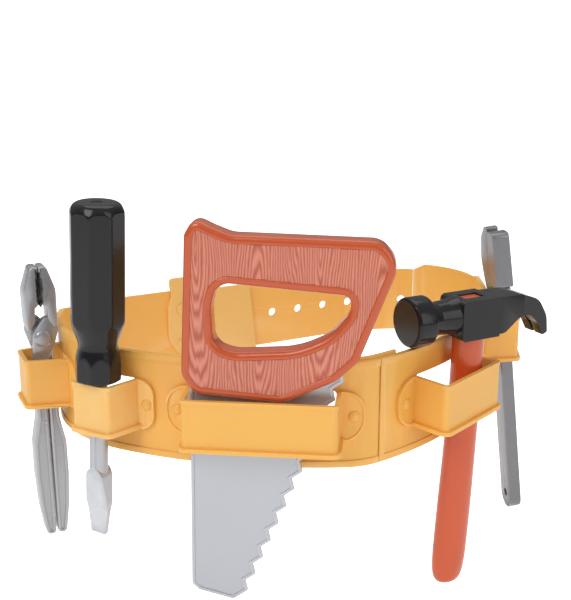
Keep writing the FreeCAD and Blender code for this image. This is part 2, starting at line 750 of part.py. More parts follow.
def makeHammerHead():
    low = size("panelHeight") / 2 + size("hammerLift")
    high = low + size("hammerTall")
    middle = low + size("hammerAxisUp")
    poll = size("hammerFaceRadius")
    faceAt = -42.0
    neckAt = -29.0
    blockAt = -12.0
    head = newBody("hammer_head", hammerHome())
    block = [(blockAt, low), (13, low), (13, high), (blockAt, high)]
    blockSketch = outline(head, "BlockOutline", block, [2.0, 1.0, 2.0, 3.0])
    pad(head, blockSketch, "Block", "Sizes.hammerWide", both=True)
    claw = [(8, low + 0.6), (18, low + 0.8), (28, low + 8.5), (36, low + 9.0), (43, low + 2.0),
            (46.5, low - 5.0), (50.6, low - 4.0), (49.5, low + 6.0), (42.5, high - 5.5), (29, high - 1),
            (8, high - 0.5)]
    clawRound = [0, 6.0, 8.0, 8.0, 10.0, 0.8, 1.2, 12.0, 14.0, 20.0, 0]
    pad(head, outline(head, "ClawOutline", claw, clawRound), "Claw", "Sizes.clawWide", both=True)
    doc.recompute()
    # the claw narrows towards its tip and is split by a vee
    half = size("hammerWide") / 2
    for side in (-1, 1):
        wedge = [(14, side * (half + 1)), (60, side * (half + 1)), (60, side * half / 2),
                 (34, side * (half - 2))]
        name = "Narrow%d" % (side + 1)
        pocket(head, outline(head, name, wedge, 0.0, "XY_Plane"), name + "Cut")
    vee = [(30, -0.4), (62, -2.0), (62, 2.0), (30, 0.4)]
    pocket(head, outline(head, "VeeOutline", vee, 0.0, "XY_Plane"), "Vee")
    neck = crossRing(head, "NeckRing", size("hammerNeckRadius"), neckAt, middle)
    pad(head, neck, "Neck", "%s" % (blockAt - neckAt + 1.0))
    face = crossRing(head, "PollRing", poll, faceAt, middle)
    pad(head, face, "Poll", "%s" % (neckAt - faceAt))
    doc.recompute()
    fillet(head, "PollRound", 2.2, lambda edge: isinstance(edge.Curve, Part.Circle)
           and abs(edge.Curve.Radius - poll) < 1e-3)
    pocket(head, eyeOutline(head, "EyeOutline", 0.0, 1.0), "Eye")


def makeHammerHandle():
    low = size("panelHeight") / 2 + size("hammerLift")
    overlap = 2.0
    handle = newBody("hammer_handle", hammerHome())
    stub = eyeOutline(handle, "TenonOutline", size("hammerPlay"), 0.8, low - overlap)
    pad(handle, stub, "Tenon", "Sizes.hammerTall + %s" % (overlap - 1.0))
    # lean of the grip runs along the belt, so that it lifts straight out of its loop
    turn = math.radians(size("hammerTurn"))
    along = (-math.cos(turn), -math.sin(turn))
    # level, lean along the belt, half width and half depth of each ring of the grip
    sections = [(low, 0.0, 9.4, 7.8), (15.0, 0.7, 9.4, 7.8), (0.0, 1.7, 9.4, 7.8), (-22.0, 3.6, 9.6, 7.8),
                (-45.0, 6.0, 9.9, 7.8), (-68.0, 8.6, 10.2, 7.8), (-90.0, 11.2, 10.2, 7.8),
                (-104.0, 12.9, 9.6, 7.4), (-110.5, 13.7, 8.0, 6.0), (-113.0, 14.0, 5.4, 3.8)]
    rings = []
    for index, (level, lean, wide, deep) in enumerate(sections):
        sketch = handle.newObject("Sketcher::SketchObject", "GripRing%d" % index)
        sketch.AttachmentSupport = [(originPlane(handle, "XY_Plane"), "")]
        sketch.MapMode = "FlatFace"
        spot = Vector(along[0] * lean, along[1] * lean, level)
        sketch.AttachmentOffset = FreeCAD.Placement(spot, FreeCAD.Rotation())
        sketch.addGeometry(Part.Ellipse(Vector(wide, 0, 0), Vector(0, deep, 0), Vector(0, 0, 0)), False)
        rings.append(sketch)
    loft = handle.newObject("PartDesign::AdditiveLoft", "Grip")
    loft.Profile = rings[0]
    loft.Sections = rings[1:]
    doc.recompute()


# ---------------------------------------------------------------- pliers
def makePliers():
    home = frameAt(size("pliersPlace"), size("pliersOut"), size("pliersAlong"))
    home = turned(home, up, 90)
    home.Base = home.Base + Vector(0, 0, size("pliersPivotUp"))
    home = turned(home, Vector(0, 1, 0), -size("pliersLean"))
    thick = size("pliersThick")
    # jaw, lap round the pivot and handle of the half whose jaw is on the right
    jaw = [(0.2, 9.0), (3.2, 10.5), (3.2, 18.0), (0.2, 20.0), (0.2, 41.5), (4.5, 42.0), (9.2, 28.0),
           (9.0, 10.0), (8.0, 3.0), (4.0, 1.0)]
    jawRound = [0.5, 1.5, 1.5, 0.5, 0.5, 2.5, 12.0, 6.0, 2.0, 0]
    grip = [(-0.6, -9.0), (-0.6, -121.0), (-3.6, -122.0), (-7.6, -104.0), (-9.3, -84.0), (-9.3, -64.0),
            (-6.6, -48.0), (-6.6, -9.0)]
    gripRound = [0, 1.0, 1.6, 20.0, 20.0, 8.0, 10.0, 0]
    for name, flip in (("pliers_lever", 1), ("pliers_half", -1)):
        body = newBody(name, home)
        jawPoints = [(flip * x, z) for x, z in jaw][::flip]
        gripPoints = [(flip * x, z) for x, z in grip][::flip]
        pad(body, outline(body, name + "Jaw", jawPoints, jawRound[::flip]), name + "JawPad",
            "Sizes.pliersThick", both=True)
        pad(body, outline(body, name + "Grip", gripPoints, gripRound[::flip]), name + "GripPad",
            "Sizes.pliersThick", both=True)
        # web that crosses at the pivot, half as thick
        cross = [(8.4, 5.0), (0.5, 10.0), (-6.6, -9.5), (-6.6, -14.0), (-0.8, -14.0), (8.4, 1.0)]
        web = [(flip * x, z) for x, z in cross]
        apart = size("layerGap") / 2 * flip
        webSketch = outline(body, name + "Web", web[::flip], [2.0, 2.0, 2.0, 0, 0, 2.0][::flip], offset=apart)
        pad(body, webSketch, name + "WebPad", "(Sizes.pliersThick - Sizes.layerGap) / 2", reverse=flip < 0)
        doc.recompute()
        # room for the other half's web
        space = [(9.5, 5.2), (0.0, 12.2), (-8.0, -8.0), (-8.0, -16.5), (-0.2, -16.5), (9.5, 0.0)]
        room = [(-flip * x, z) for x, z in space]
        roomSketch = outline(body, name + "Room", room[::-flip], 0.5, offset=apart)
        pocket(body, roomSketch, name + "RoomCut", "Sizes.pliersThick", reverse=flip < 0)
        bore = ring(body, name + "Bore", 0, 0, size("pivotRadius") + size("pivotPlay"))
        pocket(body, bore, name + "BoreCut")
    pivot = newBody("pliers_pivot", home)
    gap = size("capGap")
    pad(pivot, ring(pivot, "PivotRing", 0, 0, size("pivotRadius")), "PivotPad",
        "Sizes.pliersThick + 2 * Sizes.capGap", both=True)
    for side in (-1, 1):
        name = "Cap%d" % (side + 1)
        cap = ring(pivot, name + "Ring", 0, 0, size("pivotCapRadius"), offset=side * (thick / 2 + gap))
        pad(pivot, cap, name, "Sizes.pivotCap", reverse=side < 0)
    doc.recompute()
    fillet(pivot, "CapRound", 0.75 * size("pivotCap"), atY(-thick / 2 - gap - size("pivotCap")))


# ---------------------------------------------------------------- wrench
def makeWrench():
    # the top leans in, so a taller panel moves the whole wrench out
    leanIn = size("panelHeight") / 2 * math.tan(math.radians(size("wrenchLean")))
    home = frameAt(size("wrenchPlace"), size("wrenchClear") + leanIn)
    home = turned(home, up, size("wrenchTurn"))
    home = turned(home, Vector(1, 0, 0), -size("wrenchLean"))
    wide = size("wrenchWide") / 2
    shelf = size("jawShelf")
    slot = size("channelUp")
    foot = size("hangUp") - 10.0
    body = newBody("wrench_body", home)
    bar = [(-wide, foot), (wide, foot), (wide, 22), (14.5, shelf), (19.0, 47), (16.5, 62), (9.5, 70),
           (4.0, 70), (5.0, 52), (1.5, shelf), (-13.5, shelf), (-13.5, 25.5), (-wide, 17.5)]
    rounds = [wide * 0.95, wide * 0.95, 8.0, 8.0, 14.0, 8.0, 3.0, 1.0, 14.0, 0.6, 0.8, 3.0, 8.0]
    pad(body, outline(body, "BarOutline", bar, rounds), "Bar", "Sizes.wrenchThick", both=True)
    doc.recompute()
    pocket(body, ring(body, "HangRing", 0, size("hangUp"), size("hangRadius")), "HangHole")
    # window for the thumb screw and the channel that the jaw's foot runs in
    window = [(-7.0, 19.0), (7.0, 19.0), (7.0, slot + 0.2), (-7.0, slot + 0.2)]
    pocket(body, outline(body, "WindowOutline", window, 0.8), "Window")
    channel = [(-15.0, slot), (13.0, slot), (13.0, slot + 3), (-15.0, slot + 3)]
    pocket(body, outline(body, "ChannelOutline", channel, 0.0), "Channel", "Sizes.channelWide", both=True)
    neckway = [(-15.0, slot + 2.8), (12.6, slot + 2.8), (12.6, shelf + 0.5), (-15.0, shelf + 0.5)]
    pocket(body, outline(body, "NeckOutline", neckway, 0.0), "NeckWay", "Sizes.neckWide", both=True)

    play = size("jawPlay")
    jaw = newBody("wrench_jaw", home)
    block = [(-14.0, shelf + play), (0.4, shelf + play), (-1.4, 69.0), (-11.0, 69.0)]
    pad(jaw, outline(jaw, "JawOutline", block, [1.5, 0.5, 0.8, 3.0]), "JawBlock", "Sizes.jawThick", both=True)
    stem = [(-12.0, slot + 1.3), (-1.5, slot + 1.3), (-1.5, shelf + 1.5), (-12.0, shelf + 1.5)]
    pad(jaw, outline(jaw, "StemOutline", stem, 0.0), "JawStem", "Sizes.stemWide", both=True)
    footing = [(-12.0, slot + play), (-1.5, slot + play), (-1.5, slot + 2.7), (-12.0, slot + 2.7)]
    pad(jaw, outline(jaw, "FootOutline", footing, 0.0), "JawFoot", "Sizes.footWide", both=True)

    screw = newBody("wrench_thumbscrew", home)
    wheel = ring(screw, "WheelRing", 0, 0, size("screwRadius"), "YZ_Plane")
    wheel.AttachmentOffset = FreeCAD.Placement(Vector(0, size("screwUp"), 0), FreeCAD.Rotation())
    pad(screw, wheel, "Wheel", "Sizes.screwLong", both=True)
    doc.recompute()


makeSaw()
makeScrewdriver()
makeHammerHead()
makeHammerHandle()
makePliers()
makeWrench()


# ---------------------------------------------------------------- checks and files
def checkAndWrite():
    doc.recompute()
    for item in doc.Objects:
        if "Invalid" in item.State or "Error" in item.State:
            raise RuntimeError("failed: " + item.Name)
    os.makedirs("parts", exist_ok=True)
    for item in pieces:
        shape = item.Shape
        if shape.isNull() or not shape.isValid():
            raise RuntimeError("bad shape: " + item.Label)
        shape.exportStep("parts/%s.step" % item.Label)
        print("%-22s %d solid(s) %9.1f mm3" % (item.Label, len(shape.Solids), shape.Volume))


checkAndWrite()
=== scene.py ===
import math
import bpy
import bmesh
from mathutils import Matrix, Vector, noise
from mathutils.bvhtree import BVHTree


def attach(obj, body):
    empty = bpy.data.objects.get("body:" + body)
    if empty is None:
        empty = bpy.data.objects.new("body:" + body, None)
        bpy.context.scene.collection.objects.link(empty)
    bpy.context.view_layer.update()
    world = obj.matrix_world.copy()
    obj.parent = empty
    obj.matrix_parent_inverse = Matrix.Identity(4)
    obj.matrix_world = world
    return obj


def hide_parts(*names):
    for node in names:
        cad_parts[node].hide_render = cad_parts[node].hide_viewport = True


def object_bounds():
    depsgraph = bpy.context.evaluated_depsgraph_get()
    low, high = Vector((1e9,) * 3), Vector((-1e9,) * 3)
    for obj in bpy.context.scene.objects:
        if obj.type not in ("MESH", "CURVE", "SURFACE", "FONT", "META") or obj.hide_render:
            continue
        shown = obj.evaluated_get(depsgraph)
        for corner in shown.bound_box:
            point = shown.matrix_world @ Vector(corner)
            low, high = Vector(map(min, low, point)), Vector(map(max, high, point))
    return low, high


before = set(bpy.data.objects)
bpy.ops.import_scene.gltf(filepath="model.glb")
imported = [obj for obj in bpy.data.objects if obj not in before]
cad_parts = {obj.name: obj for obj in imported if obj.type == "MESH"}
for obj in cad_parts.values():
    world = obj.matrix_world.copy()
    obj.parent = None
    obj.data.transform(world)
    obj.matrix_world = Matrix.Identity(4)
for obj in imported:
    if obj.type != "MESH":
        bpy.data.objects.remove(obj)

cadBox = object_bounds()
low = cadBox[0]
mm = 0.001

def newGroup(name, inputs, outputs):
    group = bpy.data.node_groups.new(name, "ShaderNodeTree")
    for label, value in inputs:
        socket = group.interface.new_socket(label, in_out="INPUT", socket_type="NodeSocketFloat")
        socket.default_value = value
    for label, kind in outputs:
        group.interface.new_socket(label, in_out="OUTPUT", socket_type=kind)
    nodes = group.nodes
    return group, nodes, group.links, nodes.new("NodeGroupInput"), nodes.new("NodeGroupOutput")


def makeMouldGroup():
    # the slow waves, fine orange peel and dusty patches of moulded plastic
    group, nodes, links, inside, outside = newGroup(
        "moulded skin",
        [("Peel Size", 900.0), ("Cloud Size", 22.0), ("Tone Spread", 0.08), ("Roughness", 0.35),
         ("Roughness Spread", 0.1)],
        [("Tone", "NodeSocketFloat"), ("Roughness", "NodeSocketFloat"), ("Height", "NodeSocketFloat")])
    coords = nodes.new("ShaderNodeTexCoord")
    peel = nodes.new("ShaderNodeTexNoise")
    peel.inputs["Detail"].default_value = 3.0
    cloud = nodes.new("ShaderNodeTexNoise")
    cloud.inputs["Detail"].default_value = 5.0
    wave = nodes.new("ShaderNodeTexNoise")
    wave.inputs["Scale"].default_value = 70.0
    wave.inputs["Detail"].default_value = 1.0
    for texture in (peel, cloud, wave):
        links.new(coords.outputs["Object"], texture.inputs["Vector"])
    links.new(inside.outputs["Peel Size"], peel.inputs["Scale"])
    links.new(inside.outputs["Cloud Size"], cloud.inputs["Scale"])
    centred = nodes.new("ShaderNodeMath")
    centred.operation = "SUBTRACT"
    centred.inputs[1].default_value = 0.5
    links.new(cloud.outputs["Fac"], centred.inputs[0])
    tone = nodes.new("ShaderNodeMath")
    tone.operation = "MULTIPLY_ADD"
    tone.inputs[2].default_value = 1.0
    links.new(centred.outputs[0], tone.inputs[0])
    links.new(inside.outputs["Tone Spread"], tone.inputs[1])
    rough = nodes.new("ShaderNodeMath")
    rough.operation = "MULTIPLY_ADD"
    links.new(centred.outputs[0], rough.inputs[0])
    links.new(inside.outputs["Roughness Spread"], rough.inputs[1])
    links.new(inside.outputs["Roughness"], rough.inputs[2])
    height = nodes.new("ShaderNodeMath")
    height.operation = "MULTIPLY_ADD"
    height.inputs[1].default_value = 4.0
    links.new(wave.outputs["Fac"], height.inputs[0])
    links.new(peel.outputs["Fac"], height.inputs[2])
    links.new(tone.outputs[0], outside.inputs["Tone"])
    links.new(rough.outputs[0], outside.inputs["Roughness"])
    links.new(height.outputs[0], outside.inputs["Height"])
    return group


def makeEdgeHighlightGroup():
    # painted highlights: a paler colour on sharp edges, broken up so that they don't run evenly
    group, nodes, links, inside, outside = newGroup(
        "painted edge highlights", [("Amount", 0.5), ("Patch Size", 60.0)], [("Mask", "NodeSocketFloat")])
    geometry = nodes.new("ShaderNodeNewGeometry")
    sharp = nodes.new("ShaderNodeMapRange")
    sharp.inputs["From Min"].default_value = 0.515
    sharp.inputs["From Max"].default_value = 0.62
    links.new(geometry.outputs["Pointiness"], sharp.inputs["Value"])
    coords = nodes.new("ShaderNodeTexCoord")
    patch = nodes.new("ShaderNodeTexNoise")
    patch.inputs["Detail"].default_value = 6.0
    links.new(coords.outputs["Object"], patch.inputs["Vector"])
    links.new(inside.outputs["Patch Size"], patch.inputs["Scale"])
    broken = nodes.new("ShaderNodeMath")
    broken.operation = "MULTIPLY"
    links.new(sharp.outputs["Result"], broken.inputs[0])
    links.new(patch.outputs["Fac"], broken.inputs[1])
    strong = nodes.new("ShaderNodeMath")
    strong.operation = "MULTIPLY"
    strong.use_clamp = True
    links.new(broken.outputs[0], strong.inputs[0])
    links.new(inside.outputs["Amount"], strong.inputs[1])
    links.new(strong.outputs[0], outside.inputs["Mask"])
    return group


mouldGroup = makeMouldGroup()
edgeHighlightGroup = makeEdgeHighlightGroup()

# each plastic's second, paler colour is a painted highlight for its sharp edges, with the amount of that
# painted highlight beside it
plastics = {
    "belt": dict(colour=(0.92, 0.49, 0.10), worn=(0.98, 0.66, 0.27), roughness=0.40, spread=0.10,
                 tone=0.10, peel=1100, bump=0.10, edgeHighlight=0.9, soft=0.12, coat=0.0),
    # the end plate uses the belt plastic painted paler, as painted light on the plate
    "plate": dict(colour=(0.92, 0.56, 0.17), worn=(0.98, 0.70, 0.33), roughness=0.38, spread=0.10,
                  tone=0.08, peel=1100, bump=0.08, edgeHighlight=0.8, soft=0.12, coat=0.0),
    "sawBorder": dict(colour=(0.55, 0.085, 0.018), worn=(0.80, 0.30, 0.16), roughness=0.22, spread=0.12,
                      tone=0.12, peel=900, bump=0.06, edgeHighlight=0.8, soft=0.03, coat=0.3),
    # the saw grain's own colour is its grooves darkened as painted shade, and its ridge colour is a painted
    # highlight on the ridges
    "sawGrain": dict(colour=(0.40, 0.060, 0.020), worn=(0.80, 0.30, 0.16), roughness=0.30, spread=0.12,
                     tone=0.16, peel=900, bump=0.06, edgeHighlight=0.0, soft=0.03, coat=0.15, litRidge=(0.74, 0.27, 0.18)),
    "silver": dict(colour=(0.50, 0.52, 0.56), worn=(0.85, 0.87, 0.90), roughness=0.30, spread=0.12,
                   tone=0.10, peel=1500, bump=0.07, edgeHighlight=0.8, soft=0.0, coat=0.15, metallic=0.5),
    "black": dict(colour=(0.010, 0.010, 0.012), worn=(0.06, 0.06, 0.065), roughness=0.18, spread=0.14,
                  tone=0.25, peel=700, bump=0.05, edgeHighlight=0.5, soft=0.0, coat=0.15, gloss=0.3),
    "orange": dict(colour=(0.66, 0.095, 0.02), worn=(0.85, 0.30, 0.14), roughness=0.24, spread=0.12,
                   tone=0.12, peel=800, bump=0.06, edgeHighlight=0.7, soft=0.04, coat=0.3),
    "pliersGrey": dict(colour=(0.42, 0.43, 0.45), worn=(0.70, 0.71, 0.73), roughness=0.28, spread=0.12,
                       tone=0.14, peel=1300, bump=0.08, edgeHighlight=0.9, soft=0.0, coat=0.15, metallic=0.45),
    "wrenchGrey": dict(colour=(0.21, 0.21, 0.225), worn=(0.62, 0.63, 0.66), roughness=0.30, spread=0.12,
                       tone=0.14, peel=1300, bump=0.08, edgeHighlight=0.9, soft=0.0, coat=0.15, metallic=0.45),
}


def makePlastic(name, values):
    material = bpy.data.materials.new(name)
    material.use_nodes = True
    nodes, links = material.node_tree.nodes, material.node_tree.links
    shader = nodes["Principled BSDF"]
    skin = nodes.new("ShaderNodeGroup")
    skin.node_tree = mouldGroup
    skin.inputs["Peel Size"].default_value = values["peel"]
    skin.inputs["Tone Spread"].default_value = values["tone"]
    skin.inputs["Roughness"].default_value = values["roughness"]
    skin.inputs["Roughness Spread"].default_value = values["spread"]
    edgeHighlight = nodes.new("ShaderNodeGroup")
    edgeHighlight.node_tree = edgeHighlightGroup
    edgeHighlight.inputs["Amount"].default_value = values["edgeHighlight"]
    toned = nodes.new("ShaderNodeMix")
    toned.data_type = "RGBA"
    toned.blend_type = "MULTIPLY"
    toned.inputs["Factor"].default_value = 1.0
    toned.inputs["A"].default_value = (*values["colour"], 1)
    links.new(skin.outputs["Tone"], toned.inputs["B"])
    # the grain's mask paints a highlight on the ridges and shade in the grooves
    if "litRidge" in values:
        grainLightMask = nodes.new("ShaderNodeAttribute")
        grainLightMask.attribute_name = "grainLightMask"
        grainShading = nodes.new("ShaderNodeMix")
        grainShading.data_type = "RGBA"
        grainShading.inputs["A"].default_value = (*values["colour"], 1)
        grainShading.inputs["B"].default_value = (*values["litRidge"], 1)
        links.new(grainLightMask.outputs["Fac"], grainShading.inputs["Factor"])
        links.new(grainShading.outputs["Result"], toned.inputs["A"])
    # paints the highlight: the paler colour mixed in along sharp edges
    worn = nodes.new("ShaderNodeMix")
    worn.data_type = "RGBA"
    worn.inputs["B"].default_value = (*values["worn"], 1)
    links.new(edgeHighlight.outputs["Mask"], worn.inputs["Factor"])
    links.new(toned.outputs["Result"], worn.inputs["A"])
    links.new(worn.outputs["Result"], shader.inputs["Base Color"])
    links.new(skin.outputs["Roughness"], shader.inputs["Roughness"])
    bump = nodes.new("ShaderNodeBump")
    bump.inputs["Strength"].default_value = values["bump"]
    bump.inputs["Distance"].default_value = 0.0004
    links.new(skin.outputs["Height"], bump.inputs["Height"])
    links.new(bump.outputs["Normal"], shader.inputs["Normal"])
    shader.inputs["Coat Weight"].default_value = values["coat"]
    shader.inputs["Coat Roughness"].default_value = 0.08
    shader.inputs["Metallic"].default_value = values.get("metallic", 0.0)
    shader.inputs["Specular IOR Level"].default_value = values.get("gloss", 0.5)
    shader.inputs["Subsurface Weight"].default_value = values["soft"]
    shader.inputs["Subsurface Radius"].default_value = (1.0, 0.4, 0.15)
    shader.inputs["Subsurface Scale"].default_value = 0.003
    return material


paints = {name: makePlastic(name, values) for name, values in plastics.items()}
print("stage: plastics made", len(paints))


def newPiece(name, mesh, paint, body, replaced=()):
    mesh.materials.append(paints[paint])
    piece = bpy.data.objects.new(name, mesh)
    bpy.context.collection.objects.link(piece)
    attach(piece, body)
    if replaced:
        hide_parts(*replaced)
    return piece


def finishMesh(bm, name, place=None, crease=32):
    # merges, turns faces outwards, puts the mesh in its place and shades it
    bmesh.ops.remove_doubles(bm, verts=bm.verts, dist=0.000002)
    bmesh.ops.recalc_face_normals(bm, faces=bm.faces)
    if place is not None:
        bmesh.ops.transform(bm, matrix=place, verts=bm.verts)
    for face in bm.faces:
        face.smooth = True
    for edge in bm.edges:
        edge.smooth = edge.calc_face_angle(0.0) < math.radians(crease)
    mesh = bpy.data.meshes.new(name)
    bm.to_mesh(mesh)
    bm.free()
    return mesh


def seat(node, turn, lean, leanAxis, side, spot):
    # where a tool stands: its turn and lean, and a spot of it that lies on a side of its node's box
    rotation = Matrix.Rotation(math.radians(turn), 3, "Z") @ Matrix.Rotation(math.radians(lean), 3, leanAxis)
    inverse = rotation.inverted()
    points = [inverse @ vertex.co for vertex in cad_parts[node].data.vertices]
    corner = Vector()
    for axis in range(3):
        least = min(point[axis] for point in points)
        most = max(point[axis] for point in points)
        corner[axis] = (least, (least + most) / 2, most)[side[axis] + 1]
    base = rotation @ (corner - Vector(spot) * mm)
    return Matrix.Translation(base) @ rotation.to_4x4()


def flatOutline(bm, points, radii, level=0.0):
    # one flat face in x and z, with its corners rounded
    corners = [bm.verts.new((x * mm, level * mm, z * mm)) for x, z in points]
    face = bm.faces.new(corners)
    count = len(points)
    for index, corner in enumerate(corners):
        radius = radii[index] if isinstance(radii, (list, tuple)) else radii
        if radius <= 0:
            continue
        before = Vector(points[index - 1]) - Vector(points[index])
        after = Vector(points[(index + 1) % count]) - Vector(points[index])
        half = before.angle(after) / 2
        reach = min(radius / math.tan(half), before.length * 0.49, after.length * 0.49)
        if reach < 0.02:
            continue
        bmesh.ops.bevel(bm, geom=[corner], offset=reach * mm, offset_type="OFFSET", affect="VERTICES",
                        segments=max(2, int(radius * 0.8) + 2), profile=0.5, material=-1)
    return bm.faces[:] if len(bm.faces) == 1 else [max(bm.faces, key=lambda each: len(each.verts))]


def stepIn(bm, faces, steps):
    # insets a region again and again; each step is how far in and how far out, in millimetres
    for inward, outward in steps:
        bmesh.ops.inset_region(bm, faces=faces, thickness=inward * mm, depth=outward * mm,
                               use_even_offset=True, use_boundary=True)


def quarterRound(radius, count=4):
    steps = []
    for index in range(count):
        a = math.radians(90 * index / count)
        b = math.radians(90 * (index + 1) / count)
        steps.append((radius * (math.cos(a) - math.cos(b)), radius * (math.sin(b) - math.sin(a))))
    return steps


def raiseSide(bm, faces, height):
    # walls up from the middle plane; gives the faces that end on the outer side (towards -y)
    grown = bmesh.ops.extrude_face_region(bm, geom=faces)["geom"]
    top = [each for each in grown if isinstance(each, bmesh.types.BMFace)]
    verts = [each for each in grown if isinstance(each, bmesh.types.BMVert)]
    bmesh.ops.translate(bm, vec=(0, -height * mm, 0), verts=verts)
    for face in top:
        face.normal_update()
        if face.normal.y > 0:
            face.normal_flip()
    return top


def mirrored(bm):
    # adds the other half behind the middle plane
    copy = bmesh.ops.duplicate(bm, geom=bm.verts[:] + bm.edges[:] + bm.faces[:])["geom"]
    verts = [each for each in copy if isinstance(each, bmesh.types.BMVert)]
    bmesh.ops.scale(bm, vec=(1, -1, 1), verts=verts)


def reliefPlate(points, radii, thick, steps):
    # plate about its middle plane with the same relief on both faces
    bm = bmesh.new()
    faces = flatOutline(bm, points, radii)
    rise = sum(outward for inward, outward in steps if outward > 0)
    top = raiseSide(bm, faces, thick / 2 - rise)
    stepIn(bm, top, steps)
    middle = [face for face in bm.faces if all(abs(vertex.co.y) < 1e-7 for vertex in face.verts)]
    bmesh.ops.delete(bm, geom=middle, context="FACES_ONLY")
    mirrored(bm)
    return bm


def joinInto(bm, other):
    spare = bpy.data.meshes.new("spare")
    other.to_mesh(spare)
    other.free()
    bm.from_mesh(spare)
    bpy.data.meshes.remove(spare)


def spinRound(bm, axis, steps):
    # turns an open outline all the way round
    bmesh.ops.spin(bm, geom=bm.verts[:] + bm.edges[:], cent=(0, 0, 0), axis=axis, dvec=(0, 0, 0),
                   angle=2 * math.pi, steps=steps, use_merge=True)


print("stage: makers ready")

saw = dict(
    turn=-6.6,
    grip=[(-37.5, 99.0), (-32.5, 107.5), (-23.0, 103.0), (-14.0, 99.5), (60.0, 98.0), (69.5, 87.0),
          (50.0, 36.0), (39.0, 25.5), (12.0, 12.5), (-34.0, 16.0), (-40.5, 26.0)],
    gripRound=[5.0, 5.5, 12.0, 14.0, 10.0, 12.0, 10.0, 8.0, 8.0, 8.0, 8.0],
    hole=[(-21.0, 75.0), (46.0, 70.0), (45.5, 61.0), (35.0, 48.5), (19.0, 41.0), (-13.0, 38.8),
          (-23.5, 42.5), (-24.5, 62.0)],
    holeRound=[12.0, 4.5, 12.0, 24.0, 40.0, 18.0, 10.0, 20.0],
    thick=13.0, edge=2.7, crest=0.7, sunk=0.75,
    grainPitch=1.3, grainDeep=0.28, arch=31.0, archReach=0.13,
    lowestTip=(-7.7, -96.5), highestTip=(42.4, 24.0), teeth=12, notch=(-5.6, -4.0),
    bladeThick=2.6, bladeHeel=-37.9, bladeTop=30.5, bladeRound=[0, 0, 3.0, 3.0, 2.3],
    gridWide=0.33, gridTall=0.9, skirt=0.8,
)
sawPlace = seat("saw_blade", saw["turn"], 0, "X", (-1, 0, 1), (saw["bladeHeel"], 0, saw["bladeTop"]))


def grainAt(x, z):
    # height of the carved grain, 0 in a groove and 1 on a ridge: arches with straight grain between
    band = round(x / saw["arch"])
    across = x - band * saw["arch"]
    apex = 92.0 if band % 2 else 60.0
    drift = noise.noise(Vector((x * 0.09, z * 0.03, 3.0))) * 2.4
    run = math.hypot(across + drift, (z - apex) * saw["archReach"])
    fine = noise.noise(Vector((x * 0.5, z * 0.06, 9.0))) * 0.55
    wave = 0.5 + 0.5 * math.cos(2 * math.pi * (run + fine) / saw["grainPitch"])
    fibre = 0.5 + 0.5 * noise.noise(Vector((x * 3.2, z * 0.25, 1.0)))
    return max(0.0, min(1.0, wave ** 0.8 * 0.75 + fibre * 0.35))


def makeSawShell():
    # half of the handle with its rounded border, in front of the middle plane
    bm = bmesh.new()
    flatOutline(bm, saw["grip"], saw["gripRound"])
    inner = bmesh.new()
    flatOutline(inner, saw["hole"], saw["holeRound"])
    joinInto(bm, inner)
    bmesh.ops.delete(bm, geom=bm.faces[:], context="FACES_ONLY")
    bmesh.ops.triangle_fill(bm, edges=bm.edges[:], use_beauty=True)
    edge = saw["edge"]
    top = raiseSide(bm, bm.faces[:], saw["thick"] / 2 - edge)
    stepIn(bm, top, quarterRound(edge, 6) + [(saw["crest"], 0.0)])
    bm.normal_update()
    return bm, top


def makeSawGrain(tree, level):
    # carved face between the borders; its edge is hidden under them
    xs = [x for x, z in saw["grip"]]
    zs = [z for x, z in saw["grip"]]
    wide, tall = max(xs) - min(xs), max(zs) - min(zs)
    bm = bmesh.new()
    spread = Matrix.Translation(((max(xs) + min(xs)) / 2 * mm, -level * mm, (max(zs) + min(zs)) / 2 * mm))
    spread = spread @ Matrix.Rotation(math.radians(90), 4, "X")
    spread = spread @ Matrix.Diagonal((wide / 2 * mm, tall / 2 * mm, 1, 1))
    bmesh.ops.create_grid(bm, x_segments=int(wide / saw["gridWide"]), y_segments=int(tall / saw["gridTall"]),
                          size=1.0, matrix=spread)
    outside = [vertex for vertex in bm.verts
               if tree.ray_cast(Vector((vertex.co.x, -0.05, vertex.co.z)), Vector((0, 1, 0)))[0] is None]
    bmesh.ops.delete(bm, geom=outside, context="VERTS")
    # the grain's height is also kept as a mask for the painted highlight on ridges and painted shade in
    # grooves
    grainLightMask = bm.verts.layers.float.new("grainLightMask")
    for vertex in bm.verts:
        litRidge = grainAt(vertex.co.x / mm, vertex.co.z / mm)
        vertex[grainLightMask] = litRidge
        vertex.co.y -= (litRidge - 0.5) * saw["grainDeep"] * mm
    rim = [edge for edge in bm.edges if edge.is_boundary]
    skirt = bmesh.ops.extrude_edge_only(bm, edges=rim)["geom"]
    for vertex in [each for each in skirt if isinstance(each, bmesh.types.BMVert)]:
        vertex.co.y = -(level - saw["skirt"]) * mm
    bmesh.ops.triangle_fill(bm, edges=[edge for edge in bm.edges if edge.is_boundary], normal=(0, 1, 0))
    return bm


def makeSawHandle():
    shell, top = makeSawShell()
    stepIn(shell, top, [(0.15, 0.0)])
    corners = [tuple(vertex.co) for vertex in shell.verts]
    shell.verts.index_update()
    tree = BVHTree.FromPolygons(corners, [[vertex.index for vertex in face.verts] for face in top])
    stepIn(shell, top, [(0.45, -0.35), (0.25, -(saw["sunk"] - 0.35)), (0.3, -0.5)])
    grain = makeSawGrain(tree, saw["thick"] / 2 - saw["sunk"])
    for name, way in (("front", 1), ("back", -1)):
        for part, source, paint in (("border", shell, "sawBorder"), ("grain", grain, "sawGrain")):
            bm = source.copy()
            bmesh.ops.scale(bm, vec=(1, way, 1), verts=bm.verts)
            mesh = finishMesh(bm, "saw_%s_%s" % (name, part), sawPlace, 60)
            replaced = ("saw_handle_" + name,)
            newPiece("saw_%s_%s" % (name, part), mesh, paint, "saw", replaced)
    shell.free()
    grain.free()


